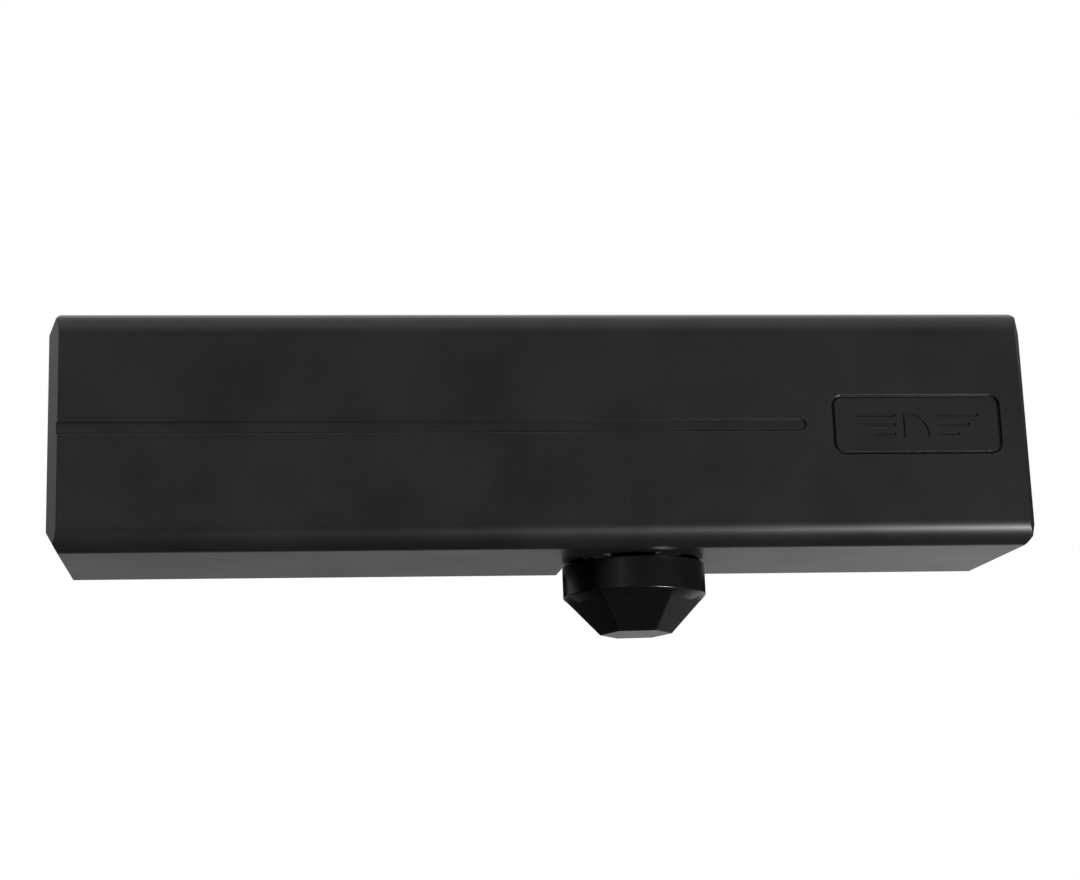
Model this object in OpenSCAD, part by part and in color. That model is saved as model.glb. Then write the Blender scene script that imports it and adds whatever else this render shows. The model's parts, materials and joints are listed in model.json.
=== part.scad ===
// Surface-mounted hydraulic door closer with a slide-on cover.
// X runs along the closer, Y points from the closer into the door, Z is up.
// The origin is the centre of the four fixing holes, on the face that meets the door.

/* [Cover] */
// Length over the end bevels
cover_l = 246; // [236:1:300]
// Height of the cover
cover_h = 60; // [58:1:74]
// Depth, from the door to the front face
cover_d = 48; // [46:0.5:60]
// Wall of the cover
cover_wall = 2; // [1.6:0.1:2.4]
// Radius of the two long front edges
edge_r = 5.8; // [3:0.1:7]
// Bevel at each end, measured along the closer
bevel_run = 2.9; // [1.5:0.1:3.4]
// Bevel at each end, measured across the front
bevel_inset = 5.2; // [3:0.1:7]
// Gap between the cover's back edge and the door
door_gap = 0.4; // [0.2:0.1:1]
// Radius of the arm openings in the cover
slot_r = 17; // [15.5:0.5:18]

/* [Groove and badge] */
// Length of the styling groove on the front face
groove_l = 185; // [100:1:188]
// Height of the groove
groove_h = 3; // [2:0.1:5]
// Depth of the groove
groove_depth = 0.6; // [0.3:0.1:0.9]
// Length of the badge recess
badge_l = 43; // [30:0.1:44]
// Height of the badge recess
badge_h = 15.2; // [10:0.1:20]
// Corner radius of the badge recess
badge_r = 2.7; // [1:0.1:4]
// Depth of the badge recess
badge_depth = 0.9; // [0.5:0.1:1.1]
// Gap round the badge plate
badge_gap = 0.7; // [0.3:0.1:1]
// Margin between the badge recess and the bevel
badge_margin = 5.5; // [2:0.1:8]

/* [Body casting] */
// Radius of the cylinder bore
bore_r = 16; // [13.3:0.1:16.4]
// Wall of the barrel round the bore
barrel_wall = 3.5; // [3:0.1:4]
// Metal behind the barrel, towards the door
back_wall = 1.5; // [1:0.1:3]
// Thickness of the mounting flange
flange_t = 6; // [4:0.5:8]
// Distance between fixing holes along the closer
fixing_pitch_x = 196; // [192:1:197]
// Distance between fixing holes across the closer
fixing_pitch_z = 46; // [45:0.5:46.5]
// Radius of a fixing hole
fixing_hole_r = 2.6; // [2:0.1:2.7]
// Depth of the end plug threads
plug_l = 15; // [10:0.5:18]

/* [Spindle] */
// Offset of the spindle from the middle of the closer
spindle_x = 24.5; // [22:0.5:28]
// Radius of the spindle journals
journal_r = 8; // [7.9:0.1:9.6]
// Size across the flats of the square ends
square_af = 11; // [9:0.1:11.4]
// Height that the upper square end stands above the cover
square_stand = 4; // [4:0.5:8]
// Module of the pinion
gear_module = 2; // [1.7:0.05:2.4]
// Half of the pinion's face width
gear_half_w = 9.5; // [7:0.5:10]
// Radius of the tapped holes in the spindle ends, at the tap drill
tap_r = 2.5; // [2:0.1:3.3]
// Radius of a bearing needle
needle_r = 1.25; // [1:0.05:1.3]
// Wall of the threaded gland round its bearing
gland_wall = 3.5; // [3:0.1:3.9]

/* [Piston and spring] */
// Largest opening angle of the spindle in degrees
open_angle = 180; // [120:5:180]
// Length of the piston head on the pressure side
head_right_l = 17; // [16:0.5:21]
// Length of the piston head on the spring side
head_left_l = 12; // [8:0.5:14]
// Radius of the closing spring's wire
wire_r = 1.9; // [1.4:0.1:2]
// Number of turns in the closing spring
spring_turns = 12; // [9:1:13]

/* [Spindle cap] */
// Radius of the round skirt
cap_r = 18.2; // [17.5:0.1:20]
// Height of the whole cap
cap_h = 17.6; // [14:0.1:22]
// Height of the skirt down to the corners of the facets
cap_skirt = 8; // [6:0.1:10]
// Radius to the corners of the small end
cap_foot_r = 9.2; // [7:0.1:12]
// Gap between the cap and the cover
cap_gap = 1; // [0.6:0.1:2]

/* [Hidden] */
$fn = 96;
over = 1;           // how far a cutting tool runs past the face that it cuts
run_gap = 0.05;     // radial clearance of running and screwed fits
part_gap = 0.3;     // clearance between neighbouring pieces

// Inside of the cover
inner_l = cover_l - 2 * cover_wall;
inner_h = cover_h - 2 * cover_wall;
inner_d = cover_d - cover_wall;

// Cover clips and the length that is left for the casting
clip_t = 5.7;
clip_end_gap = 0.4;
clip_side_gap = 0.4;
clip_front_gap = 4;
clip_pad_t = 2.2;
clip_pad_l = 7;
clip_window_r = 9;
body_l = inner_l - 2 * (bevel_run + clip_end_gap + clip_t + part_gap);
clip_x = body_l / 2 + 0.1;
clip_back = 9;
clip_foot_cut = 5;
clip_foot_back = 2;

// Casting
barrel_r = bore_r + barrel_wall;
axis_y = -(barrel_r + back_wall);
flange_h = inner_h - 2 * clip_side_gap;
end_block_l = 8;
end_block_half_h = barrel_r + 3;
end_block_back = 1;
plug_r = bore_r + 1;
plug_in = body_l / 2 - plug_l;
socket_af = 10;
socket_depth = 7;
plug_ring_x = 3;
plug_ring_r = 1;
pocket_depth = 2;
pocket_low = 6;
pocket_high = 18;
pocket_margin = 8;

// Pinion and rack: involute teeth with a 25 degree pressure angle
pressure = 25;
backlash = 0.1;
gear_teeth = 10;
addendum = 0.85 * gear_module;
dedendum = 1.05 * gear_module;
pitch_r = gear_module * gear_teeth / 2;
tip_r = pitch_r + addendum;
root_r = pitch_r - dedendum;
base_r = pitch_r * cos(pressure);
rack_pitch = PI * gear_module;
stroke = pitch_r * open_angle * PI / 180;
chamber_r = tip_r + 0.9;

// Glands, bearings and seals, stacked inwards from the top of the gland
gland_h = 10;
gland_top = inner_h / 2 - 0.8;
gland_bottom = gland_top - gland_h;
boss_half = gland_top - 1.2;
lip_t = 0.9;
seal_t = 2.4;
needle_orbit = journal_r + needle_r + run_gap;
cup_in_r = needle_orbit + needle_r + run_gap;
cup_r = cup_in_r + 0.9;
gland_r = cup_r + gland_wall;
boss_r = gland_r + 3.5;
gland_ring_r = 0.88;
gland_ring_z = 3.7;
gland_groove_w = 2.2;
gland_groove_d = 1.9;
spanner_hole_r = 1.1;
spanner_hole_depth = 2;
needle_end_gap = 0.6;
cup_shoulder = 0.4;
bearing_h = gland_h - lip_t - seal_t - part_gap;
needle_count = 18;
spanner_orbit = (gland_r + cup_r) / 2;
collar_r = journal_r + 1;
tap_depth = 14;

// Piston
piston_r = bore_r - run_gap;
slot_gap = 1.3;
slot_left = spindle_x - tip_r - slot_gap;
slot_right = spindle_x + stroke + tip_r + slot_gap;
piston_left = slot_left - head_left_l;
piston_right = slot_right + head_right_l;
seal_groove_w = 2.4;
seal_groove_d = 2;
seal_groove_x = slot_right + head_right_l / 2;
spigot_l = 6;
oil_way_r = 3;
rack_root = pitch_r + dedendum;
rack_tip = pitch_r - addendum;
slot_front = -tip_r - 0.6;

// Closing spring
coil_r = bore_r - 1.5 - wire_r;
spigot_r = coil_r - wire_r - 0.5;
seat_t = 2.5;
seat_x = -plug_in;
spring_touch = 0.05;
dead_turns = 1.25;

// Check valve and relief valve in the pressure head
port_z = 7;
ball_r = 2.4;
seat_hole_r = 1.6;
ball_bore_r = 2.75;
retainer_l = 3;
retainer_hole_r = 1.2;
seat_depth = 4.5;
ball_shoulder = ball_r * 0.86;
valve_coil_r = 1.55;
ball_stand = sqrt(ball_r * ball_r - seat_hole_r * seat_hole_r) + 0.03;
check_seat_x = slot_right + seat_depth;
relief_seat_x = piston_right - seat_depth;

// Adjusting valves in the front rail, counted from the right
driver_room = 5;
rail_right = fixing_pitch_x / 2 - driver_room;
valve_margin = 9;
valve_pitch = 14;
valve_x = [for (i = [0 : 2]) rail_right - valve_margin - i * valve_pitch];
rail_left = valve_x[2] - valve_margin - 1;
rail_y = axis_y - barrel_r - 1.8;
rail_back = 18;
rail_half_h = 6;
valve_r = 3;
valve_z = bore_r + valve_r + 0.6;
valve_sink = 1.4;
valve_head_l = 3.6;
valve_groove_l = 1.9;
valve_stem_l = 2;
valve_tip_l = 1.4;
valve_tip_r = 0.5;
valve_seat_r = 1.9;
valve_travel = 1.2;
valve_depth = valve_sink + valve_head_l + valve_groove_l + valve_stem_l + valve_tip_l + valve_travel;
valve_core_r = 1.2;
valve_ring_r = 0.85;
valve_ring_orbit = valve_core_r + valve_ring_r + 0.07;
passage_r = 1.25;
passage_y = rail_y + 8;
passage_plug_r = 2;
passage_plug_l = 4;
port_r = 0.8;

// Clip screws, M3
screw_r = 1.45;
screw_head_r = 2.8;
screw_head_h = 2;
screw_sink = 0.2;
screw_socket_af = 2;
screw_socket_depth = 1.2;
screw_l = 11;
screw_dy = -axis_y - 6;
screw_dz = end_block_half_h - 4;
screw_corners = [[-screw_dy, -screw_dz], [screw_dy, screw_dz]];

// Cap
cap_top = -cover_h / 2 - cap_gap;
cap_turn = -7;
cap_facets = 6;
cap_grip = 8;
cap_socket = cap_grip + 1;
cap_wall = 2;
facet_blend = 1.6;
facet_corner_room = 0.05;
facet_run_share = 1.4;
facet_run_extra = 1;
facet_run_in = facet_run_share * (cap_r * (1 - cos(180 / cap_facets)) + facet_run_extra);
upper_square_top = cover_h / 2 + square_stand;
lower_square_top = cover_h / 2 + cap_gap + cap_grip;
square_corner_r = min(journal_r - run_gap, 0.72 * square_af);

// ---- helpers ----

// Extrudes a drawing of the YZ plane along X, centred
module along_x(len) {
    rotate([90, 0, 90])
        linear_extrude(height = len, center = true)
            children();
}

// Extrudes a drawing of the XZ plane along Y, centred
module along_y(len) {
    rotate([90, 0, 0])
        linear_extrude(height = len, center = true)
            children();
}

// Puts a shape that points up its own Z so that it points along +X, on the barrel axis
module on_barrel(x, z = 0) {
    translate([x, axis_y, z])
        rotate([0, 90, 0])
            children();
}

// A bar along X on the barrel axis
module barrel_bar(x0, x1, r, z = 0) {
    on_barrel(x0, z)
        cylinder(r = r, h = x1 - x0);
}

// An upright bar on the spindle axis
module spindle_bar(z0, z1, r) {
    translate([spindle_x, axis_y, z0])
        cylinder(r = r, h = z1 - z0);
}

// Turns the upper stack over to make the lower one
module lower_side() {
    mirror([0, 0, 1])
        children();
}

// A ring of round section, in the XY plane
module o_ring(centre_r, section_r) {
    rotate_extrude()
        translate([centre_r, 0])
            circle(r = section_r, $fn = 32);
}

// A flat-sided ring from z = 0 up
module collar(inner, outer, h) {
    difference() {
        cylinder(r = outer, h = h);
        translate([0, 0, -over])
            cylinder(r = inner, h = h + 2 * over);
    }
}

// A rectangle with round corners, centred
module rounded_plate(w, h, r) {
    square([w - 2 * r, h], center = true);
    square([w, h - 2 * r], center = true);
    for (sx = [-1, 1], sy = [-1, 1])
        translate([sx * (w / 2 - r), sy * (h / 2 - r)])
            circle(r = r);
}

// Height of a coil spring's wire after t turns, with closed end turns
function coil_rise(t, turns, dead, span, pitch) =
    t < dead ? t * pitch :
    t > turns - dead ? span - (turns - t) * pitch :
    dead * pitch + (t - dead) * (span - 2 * dead * pitch) / (turns - 2 * dead);

// A coil spring standing on z = 0: one wire swept along a helix
module coil_spring(h, mean_r, wire, turns, dead, steps, sides) {
    span = h - 2 * wire;
    rings = turns * steps;
    points = [
        for (i = [0 : rings])
            let (a = 360 * i / steps, z = wire + coil_rise(i / steps, turns, dead, span, 2.05 * wire))
            for (j = [0 : sides - 1])
                let (b = 360 * j / sides, r = mean_r + wire * cos(b))
                [r * cos(a), r * sin(a), z + wire * sin(b)]
    ];
    side_faces = [
        for (i = [0 : rings - 1], j = [0 : sides - 1])
            let (k = (j + 1) % sides)
            [i * sides + j, i * sides + k, (i + 1) * sides + k, (i + 1) * sides + j]
    ];
    first_face = [for (j = [0 : sides - 1]) sides - 1 - j];
    last_face = [for (j = [0 : sides - 1]) rings * sides + j];
    polyhedron(points = points, faces = concat([first_face], side_faces, [last_face]), convexity = 10);
}

// ---- cover ----

// The cover's outer form, or its cavity: round long edges and bevelled ends, open at y = back
module cover_form(l, h, d, r, back) {
    x = l / 2;
    z = h / 2;
    intersection() {
        along_x(l) {
            translate([-d, r - z])
                square([d + back, h - 2 * r]);
            translate([r - d, -z])
                square([d - r + back, h]);
            for (s = [-1, 1])
                translate([r - d, s * (z - r)])
                    circle(r = r);
        }
        linear_extrude(height = h + 2 * over, center = true)
            polygon([
                [-x, back + over], [-x, bevel_inset - d], [bevel_run - x, -d],
                [x - bevel_run, -d], [x, bevel_inset - d], [x, back + over]
            ]);
        along_y(2 * d + 2 * over)
            polygon([
                [-x, bevel_inset - z], [bevel_run - x, -z], [x - bevel_run, -z], [x, bevel_inset - z],
                [x, z - bevel_inset], [x - bevel_run, z], [bevel_run - x, z], [-x, z - bevel_inset]
            ]);
    }
}

module styling_groove() {
    left = bevel_run - cover_l / 2;
    end_x = left + groove_l - groove_h / 2;
    translate([-cover_l / 2 - over, -cover_d - over, -groove_h / 2])
        cube([end_x + cover_l / 2 + over, groove_depth + over, groove_h]);
    translate([end_x, groove_depth - cover_d, 0])
        rotate([90, 0, 0])
            cylinder(r = groove_h / 2, h = groove_depth + over);
}

module at_badge(y) {
    translate([cover_l / 2 - bevel_run - badge_margin - badge_l / 2, y, 0])
        children();
}

module cover() {
    color("#232324")
        difference() {
            cover_form(cover_l, cover_h, cover_d, edge_r, -door_gap);
            cover_form(inner_l, inner_h, inner_d, edge_r - cover_wall, over);
            for (side = [0, 1])
                mirror([0, 0, side]) {
                    spindle_bar(inner_h / 2 - over, cover_h / 2 + over, slot_r);
                    translate([spindle_x - slot_r, axis_y, inner_h / 2 - over])
                        cube([2 * slot_r, over - axis_y, cover_wall + 2 * over]);
                }
            styling_groove();
            at_badge(badge_depth - cover_d)
                along_y(2 * badge_depth)
                    rounded_plate(badge_l, badge_h, badge_r);
        }
}

module badge() {
    plate_t = badge_depth - 0.1;
    color("#2b2b2c")
        at_badge(badge_depth - cover_d - plate_t / 2)
            along_y(plate_t)
                rounded_plate(badge_l - 2 * badge_gap, badge_h - 2 * badge_gap, badge_r - badge_gap);
}

// ---- spindle ----

// Roll angle in degrees at which the involute reaches a radius
function roll(r) = sqrt(max(0, pow(r / base_r, 2) - 1)) * 180 / PI;
// Involute angle in degrees at a radius
function inv_angle(r) = roll(r) - atan(roll(r) * PI / 180);
// Half of a tooth's angle at a radius
function half_tooth(r) =
    90 / gear_teeth - (backlash / 2 / pitch_r) * 180 / PI + inv_angle(pitch_r) - inv_angle(max(r, base_r));
function polar(r, a) = [r * cos(a), r * sin(a)];

module pinion_outline() {
    flank_steps = 6;
    radii = concat([root_r], [for (i = [0 : flank_steps]) base_r + (tip_r - base_r) * i / flank_steps]);
    last = len(radii) - 1;
    polygon([
        for (k = [0 : gear_teeth - 1])
            let (a = 90 + 360 * k / gear_teeth)
            each concat(
                [for (i = [0 : last]) polar(radii[i], a - half_tooth(radii[i]))],
                [for (i = [0 : last]) polar(radii[last - i], a + half_tooth(radii[last - i]))]
            )
    ]);
}

// A square bar whose corners are turned down to clear the bearings
module square_end(z0, z1) {
    chamfer = 1;
    intersection() {
        translate([0, 0, (z0 + z1) / 2])
            cube([square_af, square_af, z1 - z0], center = true);
        union() {
            translate([0, 0, z0])
                cylinder(r = square_corner_r, h = z1 - z0 - chamfer);
            translate([0, 0, z1 - chamfer])
                cylinder(r1 = square_corner_r, r2 = square_corner_r - chamfer, h = chamfer);
        }
    }
}

module pinion_spindle() {
    color("#8d9094")
        translate([spindle_x, axis_y, 0])
            difference() {
                union() {
                    linear_extrude(height = 2 * gear_half_w, center = true)
                        pinion_outline();
                    for (side = [0, 1])
                        mirror([0, 0, side]) {
                            translate([0, 0, gear_half_w])
                                cylinder(r = journal_r, h = gland_top - gear_half_w);
                            translate([0, 0, gear_half_w])
                                cylinder(r = collar_r, h = gland_bottom - part_gap - gear_half_w);
                        }
                    rotate([0, 0, cap_turn]) {
                        square_end(gland_top - over, upper_square_top);
                        lower_side()
                            square_end(gland_top - over, lower_square_top);
                    }
                }
                translate([0, 0, upper_square_top - tap_depth])
                    cylinder(r = tap_r, h = tap_depth + over);
                translate([0, 0, -lower_square_top - over])
                    cylinder(r = tap_r, h = tap_depth + over);
            }
}

// The part of the cap below its skirt: flat facets, and above them a cone that fills up to the circle.
module cap_taper() {
    translate([0, 0, -cap_h])
        cylinder(
            r1 = cap_foot_r, r2 = cap_r - facet_corner_room, h = cap_h - cap_skirt, $fn = cap_facets
        );
    translate([0, 0, -cap_skirt - facet_blend])
        cylinder(r1 = cap_r - facet_run_in, r2 = cap_r, h = facet_blend);
}

module spindle_cap() {
    square_fit = square_af + 2 * run_gap;
    color("#1c1c1d")
        translate([spindle_x, axis_y, cap_top])
            rotate([0, 0, cap_turn])
                difference() {
                    union() {
                        translate([0, 0, -cap_skirt])
                            cylinder(r = cap_r, h = cap_skirt);
                        cap_taper();
                    }
                    translate([0, 0, -cap_skirt + cap_wall])
                        collar(square_corner_r + cap_wall, cap_r - cap_wall, cap_skirt);
                    translate([0, 0, -cap_socket / 2 + over])
                        cube([square_fit, square_fit, cap_socket + 2 * over], center = true);
                }
}

// ---- casting ----

module fixing_holes() {
    for (sx = [-1, 1], sz = [-1, 1])
        translate([sx * fixing_pitch_x / 2, over, sz * fixing_pitch_z / 2])
            rotate([90, 0, 0])
                cylinder(r = fixing_hole_r, h = flange_t + 2 * over);
}

// Shallow lightening pockets in the back, above and below the barrel, on both sides of the boss
module back_pockets() {
    outer = fixing_pitch_x / 2 - pocket_margin;
    spans = [[-outer, spindle_x - boss_r], [spindle_x + boss_r, outer]];
    for (span = spans, side = [0, 1])
        mirror([0, 0, side])
            translate([span[0], -pocket_depth, pocket_low])
                cube([span[1] - span[0], pocket_depth + over, pocket_high - pocket_low]);
}

module at_valve(i) {
    translate([valve_x[i], rail_y, valve_z])
        rotate([90, 0, 0])
            children();
}

// A bar along X at the height and depth of the long oil passage
module passage_bar(x0, x1, r) {
    translate([x0, passage_y, valve_z])
        rotate([0, 90, 0])
            cylinder(r = r, h = x1 - x0);
}

module oil_passages() {
    // The passage that links the valves is drilled through a hole in the right end block
    passage_bar(valve_x[2], rail_right + over, passage_r);
    passage_bar(rail_right - passage_plug_l, rail_right + over, passage_plug_r);
    passage_bar(body_l / 2 - end_block_l - over, body_l / 2 + over, passage_plug_r + part_gap);
    // Port from the pressure chamber
    translate([piston_right + 2, passage_y, 0])
        cylinder(r = port_r, h = valve_z);
    for (i = [0 : 2]) {
        at_valve(i)
            translate([0, 0, -valve_depth])
                cylinder(r = valve_r + run_gap, h = valve_depth + over);
        // Port from each valve seat into the bore
        translate([valve_x[i], rail_y + valve_depth - valve_travel, 0])
            cylinder(r = port_r, h = valve_z);
    }
}

module spindle_openings() {
    for (side = [0, 1])
        mirror([0, 0, side]) {
            spindle_bar(-over, gland_bottom + over, chamber_r);
            spindle_bar(gland_bottom, gland_top + over, gland_r);
        }
}

module housing() {
    color("#343537")
        difference() {
            union() {
                translate([-body_l / 2, -flange_t, -flange_h / 2])
                    cube([body_l, flange_t, flange_h]);
                barrel_bar(-body_l / 2, body_l / 2, barrel_r);
                for (s = [-1, 1])
                    translate([s * (body_l - end_block_l) / 2, axis_y, 0])
                        cube([end_block_l, 2 * (-axis_y - end_block_back), 2 * end_block_half_h],
                            center = true);
                spindle_bar(-boss_half, boss_half, boss_r);
                translate([rail_left, rail_y, valve_z - rail_half_h])
                    cube([rail_right - rail_left, -rail_y - rail_back, 2 * rail_half_h]);
            }
            barrel_bar(-body_l / 2 - over, body_l / 2 + over, bore_r);
            for (s = [0, 1])
                mirror([s, 0, 0])
                    barrel_bar(plug_in, body_l / 2 + over, plug_r);
            spindle_openings();
            fixing_holes();
            back_pockets();
            oil_passages();
            for (s = [-1, 1], c = screw_corners)
                translate([s * (body_l / 2 - end_block_l / 2), axis_y + c[0], c[1]])
                    rotate([0, 90, 0])
                        cylinder(r = screw_r + run_gap, h = end_block_l + 4, center = true);
        }
}

// The right-hand end plug, pointing outwards, with a hexagon socket and a groove for its seal
module end_plug(spigot) {
    difference() {
        union() {
            translate([0, 0, plug_in])
                cylinder(r = plug_r - run_gap, h = plug_l - 0.5);
            if (spigot > 0)
                translate([0, 0, plug_in - seat_t - spigot])
                    cylinder(r = spigot_r, h = seat_t + spigot + over);
        }
        translate([0, 0, body_l / 2 - socket_depth])
            cylinder(d = socket_af / cos(30), h = socket_depth + over, $fn = 6);
        translate([0, 0, plug_in + plug_ring_x - plug_ring_r - 0.2])
            collar(plug_r - 2 * plug_ring_r - 0.2, plug_r + over, 2 * plug_ring_r + 0.4);
    }
}

module plug_ring() {
    on_barrel(plug_in + plug_ring_x)
        o_ring(plug_r - plug_ring_r - 0.15, plug_ring_r);
}

module right_end_plug() {
    color("#a9adb2")
        on_barrel(0)
            end_plug(0);
}

module left_end_plug() {
    color("#a9adb2")
        mirror([1, 0, 0])
            on_barrel(0)
                end_plug(spigot_l);
}

module right_plug_seal() {
    color("#151515")
        plug_ring();
}

module left_plug_seal() {
    color("#151515")
        mirror([1, 0, 0])
            plug_ring();
}

// ---- glands, bearings and seals ----

module gland() {
    difference() {
        spindle_bar(gland_bottom, gland_top, gland_r - run_gap);
        spindle_bar(gland_bottom - over, gland_bottom + bearing_h + part_gap, cup_r + run_gap);
        spindle_bar(gland_bottom, gland_top - lip_t, cup_r - cup_shoulder);
        spindle_bar(gland_bottom, gland_top + over, journal_r + part_gap);
        translate([spindle_x, axis_y, gland_bottom + gland_ring_z - gland_groove_w / 2])
            collar(gland_r - gland_groove_d, gland_r + over, gland_groove_w);
        for (i = [0 : 3])
            translate([spindle_x, axis_y, gland_top - spanner_hole_depth])
                rotate([0, 0, 45 + 90 * i])
                    translate([spanner_orbit, 0, 0])
                        cylinder(r = spanner_hole_r, h = spanner_hole_depth + over, $fn = 32);
    }
}

module gland_ring() {
    translate([spindle_x, axis_y, gland_bottom + gland_ring_z])
        o_ring(gland_r - gland_ring_r - 0.09, gland_ring_r);
}

module bearing_cup() {
    translate([spindle_x, axis_y, gland_bottom])
        collar(cup_in_r, cup_r, bearing_h);
}

module needles() {
    for (i = [0 : needle_count - 1])
        translate([spindle_x, axis_y, gland_bottom + needle_end_gap])
            rotate([0, 0, 360 * i / needle_count])
                translate([needle_orbit, 0, 0])
                    cylinder(r = needle_r, h = bearing_h - 2 * needle_end_gap, $fn = 24);
}

module shaft_seal() {
    translate([spindle_x, axis_y, gland_top - lip_t - seal_t])
        collar(journal_r + run_gap, cup_r - cup_shoulder - run_gap, seal_t);
}

module upper_gland() { color("#7f8387") gland(); }
module lower_gland() { color("#7f8387") lower_side() gland(); }
module upper_gland_seal() { color("#151515") gland_ring(); }
module lower_gland_seal() { color("#151515") lower_side() gland_ring(); }
module upper_bearing_cup() { color("#c3c6ca") bearing_cup(); }
module lower_bearing_cup() { color("#c3c6ca") lower_side() bearing_cup(); }
module upper_needles() { color("#dcdee0") needles(); }
module lower_needles() { color("#dcdee0") lower_side() needles(); }
module upper_shaft_seal() { color("#3a2c20") shaft_seal(); }
module lower_shaft_seal() { color("#3a2c20") lower_side() shaft_seal(); }

// ---- piston and spring ----

// The slot in the piston, with the rack cut into its side towards the door
module rack_slot() {
    half_at_pitch = rack_pitch / 4 - backlash / 2;
    half_at_tip = half_at_pitch - addendum * tan(pressure);
    half_at_root = half_at_pitch + dedendum * tan(pressure);
    teeth = floor((slot_right - slot_left - 2 * half_at_root) / rack_pitch);
    first = -floor((spindle_x - slot_left - half_at_root) / rack_pitch + 0.5) + 0.5;
    polygon(concat(
        [[slot_left, slot_front], [slot_left, rack_root]],
        [
            for (k = [0 : teeth - 1])
                let (c = spindle_x + (first + k) * rack_pitch)
                each [
                    [c - half_at_root, rack_root], [c - half_at_tip, rack_tip],
                    [c + half_at_tip, rack_tip], [c + half_at_root, rack_root]
                ]
        ],
        [[slot_right, rack_root], [slot_right, slot_front]]
    ));
}

module rack_piston() {
    rack_half_w = gear_half_w - 0.2;
    color("#9da1a6")
        difference() {
            union() {
                barrel_bar(piston_left, piston_right, piston_r);
                barrel_bar(piston_left - spigot_l, piston_left + over, spigot_r);
            }
            translate([0, axis_y, -bore_r - over])
                linear_extrude(height = 2 * bore_r + 2 * over)
                    rack_slot();
            // Past the rack's width the slot is plain, to clear the spindle's collars
            for (side = [0, 1])
                mirror([0, 0, side])
                    translate([slot_left, axis_y + slot_front, rack_half_w])
                        cube([slot_right - slot_left, rack_root - slot_front, bore_r]);
            // Seal groove
            on_barrel(seal_groove_x - seal_groove_w / 2)
                collar(piston_r - seal_groove_d, piston_r + over, seal_groove_w);
            // Oil way through the spring-side head
            barrel_bar(piston_left - spigot_l - over, slot_left + over, oil_way_r);
            // Check valve
            barrel_bar(slot_right - over, check_seat_x + over, seat_hole_r, port_z);
            barrel_bar(check_seat_x, piston_right + over, ball_bore_r, port_z);
            // Relief valve, the other way round
            barrel_bar(relief_seat_x - over, piston_right + over, seat_hole_r, -port_z);
            barrel_bar(slot_right - over, relief_seat_x, ball_bore_r, -port_z);
        }
}

module piston_seal() {
    color("#1b1b1b")
        on_barrel(seal_groove_x - seal_groove_w / 2 + 0.1)
            collar(piston_r - seal_groove_d + run_gap, bore_r - 0.02, seal_groove_w - 0.2);
}

module check_ball() {
    color("#d6d8da")
        translate([check_seat_x + ball_stand, axis_y, port_z])
            sphere(r = ball_r, $fn = 48);
}

module relief_ball() {
    color("#d6d8da")
        translate([relief_seat_x - ball_stand, axis_y, -port_z])
            sphere(r = ball_r, $fn = 48);
}

// A small valve spring that fills the room it is given, less a touch at each end
module valve_spring(room, wire, turns) {
    coil_spring(room - 2 * spring_touch, valve_coil_r, wire, turns, 1, 10, 6);
}

module check_spring() {
    start = check_seat_x + ball_stand + ball_shoulder;
    color("#c9ccce")
        on_barrel(start + spring_touch, port_z)
            valve_spring(piston_right - retainer_l - start, 0.25, 6);
}

module relief_spring() {
    start = slot_right + retainer_l;
    color("#c9ccce")
        on_barrel(start + spring_touch, -port_z)
            valve_spring(relief_seat_x - ball_stand - ball_shoulder - start, 0.35, 5);
}

module check_retainer() {
    color("#b08d4a")
        on_barrel(piston_right - retainer_l, port_z)
            collar(retainer_hole_r, ball_bore_r - run_gap, retainer_l - 0.2);
}

module relief_retainer() {
    color("#b08d4a")
        on_barrel(slot_right + 0.2, -port_z)
            collar(retainer_hole_r, ball_bore_r - run_gap, retainer_l - 0.2);
}

module spring_seat() {
    color("#84888c")
        on_barrel(seat_x)
            collar(spigot_r + 0.2, bore_r - 0.4, seat_t);
}

module closing_spring() {
    start = seat_x + seat_t + spring_touch;
    color("#5d6166")
        on_barrel(start)
            coil_spring(
                piston_left - spring_touch - start, coil_r, wire_r, spring_turns, dead_turns, 16, 8
            );
}

// ---- adjusting valves ----

module valve_screw() {
    groove_z = -valve_sink - valve_head_l - valve_groove_l;
    stem_z = groove_z - valve_stem_l;
    driver_af = 3;
    driver_depth = 2.4;
    difference() {
        union() {
            translate([0, 0, groove_z + valve_groove_l])
                cylinder(r = valve_r, h = valve_head_l);
            translate([0, 0, groove_z])
                cylinder(r = valve_core_r, h = valve_groove_l);
            translate([0, 0, stem_z])
                cylinder(r = valve_r - 2 * run_gap, h = valve_stem_l);
            translate([0, 0, stem_z - valve_tip_l])
                cylinder(r1 = valve_tip_r, r2 = valve_seat_r, h = valve_tip_l);
        }
        translate([0, 0, -valve_sink - driver_depth])
            cylinder(d = driver_af / cos(30), h = driver_depth + over, $fn = 6);
    }
}

module valve_ring() {
    translate([0, 0, -valve_sink - valve_head_l - valve_groove_l / 2])
        o_ring(valve_ring_orbit, valve_ring_r);
}

module closing_valve() { color("#c8a451") at_valve(0) valve_screw(); }
module latching_valve() { color("#c8a451") at_valve(1) valve_screw(); }
module backcheck_valve() { color("#c8a451") at_valve(2) valve_screw(); }
module closing_valve_seal() { color("#151515") at_valve(0) valve_ring(); }
module latching_valve_seal() { color("#151515") at_valve(1) valve_ring(); }
module backcheck_valve_seal() { color("#151515") at_valve(2) valve_ring(); }

module passage_plug() {
    color("#777b80")
        passage_bar(rail_right - passage_plug_l, rail_right - part_gap, passage_plug_r - 0.02);
}

// ---- cover clips ----

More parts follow.
